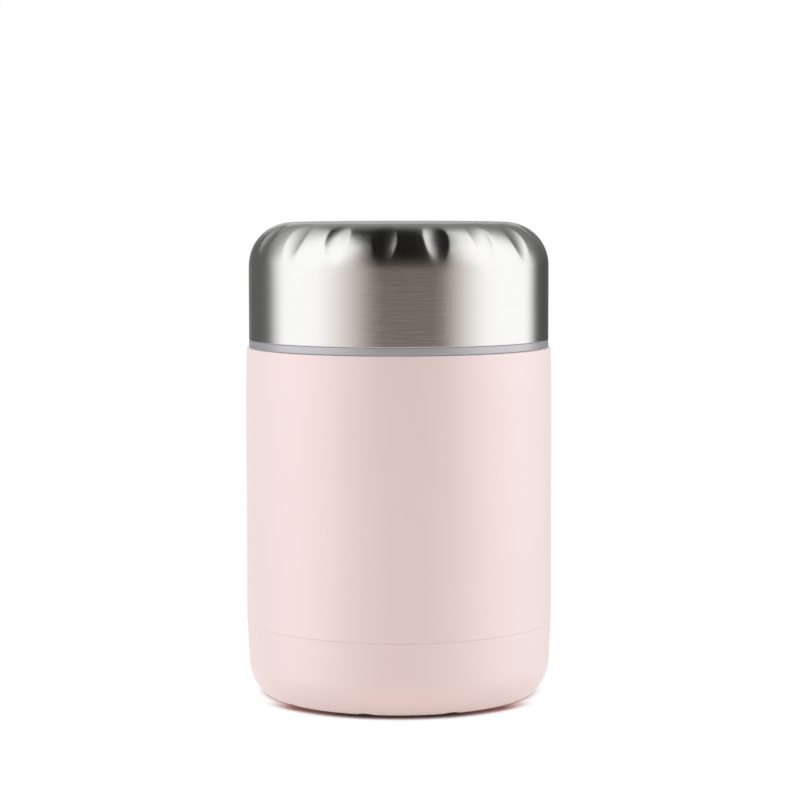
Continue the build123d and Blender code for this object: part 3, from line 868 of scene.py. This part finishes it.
def panelNodes(tree, x, y, z, look, level, narrowest):
    # One side panel. Its inner edge is a soft ramp over x that narrows upwards and towards the back,
    # and the panel falls off to a rear level that is darker near the horizon.
    up = mathNode(tree, "MAXIMUM", z, 0.0)
    back = mathNode(tree, "MAXIMUM", y, 0.0)
    front = mathNode(tree, "MAXIMUM", mathNode(tree, "MULTIPLY", y, -1.0), 0.0)
    inner = mathNode(tree, "SUBTRACT", look["inner"], mathNode(tree, "MULTIPLY", back, look["innerBack"]))
    inner = mathNode(tree, "ADD", inner, mathNode(tree, "MULTIPLY", front, look["innerFront"]))
    inner = mathNode(tree, "ADD", inner, mathNode(tree, "MULTIPLY", up, look["innerUp"]))
    width = mathNode(tree, "SUBTRACT", look["width"], mathNode(tree, "MULTIPLY", up, look["widthUp"]))
    width = mathNode(tree, "SUBTRACT", width, mathNode(tree, "MULTIPLY", back, look["widthBack"]))
    width = mathNode(tree, "MAXIMUM", width, narrowest)
    share = mathNode(tree, "DIVIDE", mathNode(tree, "SUBTRACT", x, inner), width)
    cover = rampNode(tree, share, 0.0, 1.0, smooth=False)
    dropLow = mathNode(tree, "ADD", look["dropLow"], mathNode(tree, "MULTIPLY", up, look["dropLowUp"]))
    dropHigh = mathNode(tree, "ADD", look["dropHigh"], mathNode(tree, "MULTIPLY", up, look["dropHighUp"]))
    rear = rampNode(tree, z, look["rearFrom"], look["rearTo"], look["rearLow"], look["rearHigh"])
    return cover, rampNode(tree, y, dropLow, dropHigh, level, rear)


def makeTent(look):
    # A dome of cards round the jar, seen only by reflections. Bright side panels lean over the jar.
    # The gap between them is wide in front, where dark cloth hangs above the camera, and narrow behind, where
    # a low white strip shows. Below the horizon is the pale floor.
    tilt = np.linspace(-np.pi / 2, np.pi / 2, look["rings"] + 1)
    loop = np.stack([np.cos(tilt), np.sin(tilt)], axis=1) * look["radius"] / mm
    loop[0, 0] = loop[-1, 0] = 0
    tent = turned("tentCards", loop, look["sides"])
    material = bpy.data.materials.new("tentLight")
    material.use_nodes = True
    tree = material.node_tree
    tree.nodes.clear()
    output = tree.nodes.new("ShaderNodeOutputMaterial")
    place = tree.nodes.new("ShaderNodeTexCoord").outputs["Object"]
    unit = tree.nodes.new("ShaderNodeVectorMath")
    unit.operation = "NORMALIZE"
    tree.links.new(place, unit.inputs[0])
    split = tree.nodes.new("ShaderNodeSeparateXYZ")
    tree.links.new(unit.outputs[0], split.inputs[0])
    x, y, z = split.outputs
    toLeft = mathNode(tree, "MULTIPLY", x, -1.0)
    gap = mathNode(tree, "ADD",
                   rampNode(tree, z, look["cardLow"], look["cardHigh"], look["gapLevel"], look["cardLevel"]),
                   rampNode(tree, y, look["rearGapFrom"], look["rearGapTo"], 0.0, look["rearGapLevel"]))
    light, covered = gap, 0.0
    for side, across in (("left", toLeft), ("right", x)):
        cover, level = panelNodes(tree, across, y, z, look[side], look["panelLevel"], look["narrowest"])
        light = mixValue(tree, cover, light, level)
        covered = mathNode(tree, "ADD", covered, cover)
    strip = mathNode(tree, "MULTIPLY", rampNode(tree, z, *look["stripLow"]),
                     rampNode(tree, z, *look["stripHigh"], 1.0, 0.0))
    strip = mathNode(tree, "MULTIPLY", strip, rampNode(tree, y, *look["stripBack"]))
    light = mixValue(tree, strip, light, look["stripLevel"])
    light = mixValue(tree, rampNode(tree, z, *look["floorTop"], 1.0, 0.0), light, look["floorLevel"])
    glow = tree.nodes.new("ShaderNodeEmission")
    neutral = mathNode(tree, "ADD", covered, rampNode(tree, y, *look["warmEnd"]), clamp=True)
    tree.links.new(mixColour(tree, neutral, look["warmTint"], (1.0, 1.0, 1.0)), glow.inputs["Color"])
    tree.links.new(light, glow.inputs["Strength"])
    tree.links.new(glow.outputs[0], output.inputs[0])
    tent.data.materials.append(material)
    for ray in ("camera", "diffuse", "transmission", "volume_scatter", "shadow"):
        setattr(tent, "visible_" + ray, False)


# Soft lamps: places and sizes in metres, power in watts
lampLook = {
    "aim": (0, 0, 0.07),
    "lamps": {
        "leftRear": {"spot": (-1.11, 0.93, 0.75), "size": (1.0, 1.0), "power": 4.2},
        "leftSide": {"spot": (-1.40, 0.38, 0.46), "size": (1.0, 1.0), "power": 4.0},
        "rightSide": {"spot": (1.40, 0.38, 0.46), "size": (1.0, 1.0), "power": 2.6},
        "rightRear": {"spot": (1.11, 0.93, 0.75), "size": (1.0, 1.0), "power": 4.6},
        "frontBox": {"spot": (0, -1.48, 0.67), "size": (1.2, 1.0), "power": 1.0},
    },
}


def softLamp(name, look, aim):
    # Reflections don't see the lamps: they see the tent
    lamp = bpy.data.lights.new(name, "AREA")
    lamp.shape = "RECTANGLE"
    lamp.size, lamp.size_y = look["size"]
    lamp.energy = look["power"]
    holder = bpy.data.objects.new(name, lamp)
    bpy.context.scene.collection.objects.link(holder)
    spot = Vector(look["spot"])
    toAim = Vector(aim) - spot
    holder.matrix_world = Matrix.Translation(spot) @ toAim.to_track_quat("-Z", "Y").to_matrix().to_4x4()
    holder.visible_camera = False
    holder.visible_glossy = False


makeTent(tentLook)
for lampName, oneLamp in lampLook["lamps"].items():
    softLamp(lampName, oneLamp, lampLook["aim"])

worldLook = {"fill": 0.72, "seen": 1.0}


def makeWorld(look):
    # White where the camera and reflections look past everything, soft fill for the rest
    world = bpy.data.worlds.new("studioWorld")
    bpy.context.scene.world = world
    world.use_nodes = True
    tree = world.node_tree
    tree.nodes.clear()
    output = tree.nodes.new("ShaderNodeOutputWorld")
    back = tree.nodes.new("ShaderNodeBackground")
    back.inputs["Color"].default_value = (1.0, 1.0, 1.0, 1.0)
    path = tree.nodes.new("ShaderNodeLightPath")
    seen = mathNode(tree, "MAXIMUM", path.outputs["Is Camera Ray"], path.outputs["Is Glossy Ray"])
    seen = mathNode(tree, "MAXIMUM", seen, path.outputs["Is Transmission Ray"])
    strength = rampNode(tree, seen, 0.0, 1.0, look["fill"], look["seen"], smooth=False)
    tree.links.new(strength, back.inputs["Strength"])
    tree.links.new(back.outputs[0], output.inputs[0])


makeWorld(worldLook)
print("floor, tent, lamps and world made")


# Camera: metres, radians, and millimetres for lens and sensor
cameraView = {
    "distance": 0.7591, "height": 0.1515, "tilt": 0.083, "roll": 0.0015, "lens": 113.6, "sensor": 36.0,
    "shiftX": 0.0019, "shiftY": -0.0008,
}


def makeCamera(look):
    data = bpy.data.cameras.new("camera")
    data.lens = look["lens"]
    data.sensor_width = look["sensor"]
    data.shift_x = look["shiftX"]
    data.shift_y = look["shiftY"]
    holder = bpy.data.objects.new("camera", data)
    bpy.context.scene.collection.objects.link(holder)
    holder.rotation_euler = (math.pi / 2 - look["tilt"], look["roll"], 0)
    holder.location = (0, -look["distance"], look["height"])
    bpy.context.scene.camera = holder


makeCamera(cameraView)
bpy.context.scene.view_settings.view_transform = "Standard"

print("scene ready")
